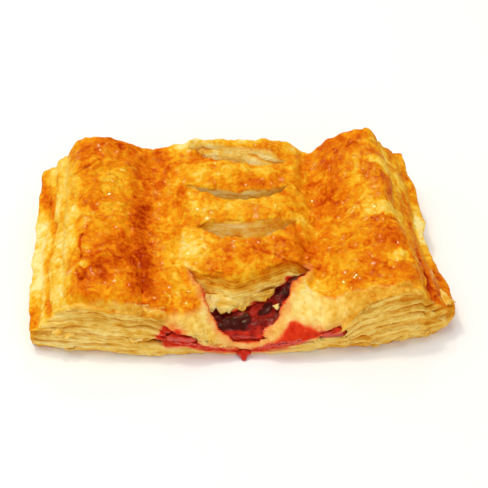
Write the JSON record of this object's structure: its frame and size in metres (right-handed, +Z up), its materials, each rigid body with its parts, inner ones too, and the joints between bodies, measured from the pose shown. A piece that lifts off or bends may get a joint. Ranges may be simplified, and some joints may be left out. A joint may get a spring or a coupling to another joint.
{
  "type": "puff pastry strip",
  "caption": "Baked puff pastry strip with raised shoulders, slit crust and a mouth at the front that shows its red fruit filling.",
  "frame": {"origin": "middle of the bounding box, on the surface that the pastry lies on", "axes": "+X along the strip's length to the right as seen from the open mouth, +Y away from the mouth to the back, +Z up"},
  "size_m": [0.1482, 0.0988, 0.0324],
  "materials": {
    "dough": "egg-washed golden brown crust with paler, dry layers at the sides",
    "fruit": "wet, glossy dark red fruit",
    "juice": "wet, clear red juice"
  },
  "bodies": {
    "root": {"pastry": "dough", "filling": "fruit", "juice_drop": "juice"}
  },
  "joints": []
}
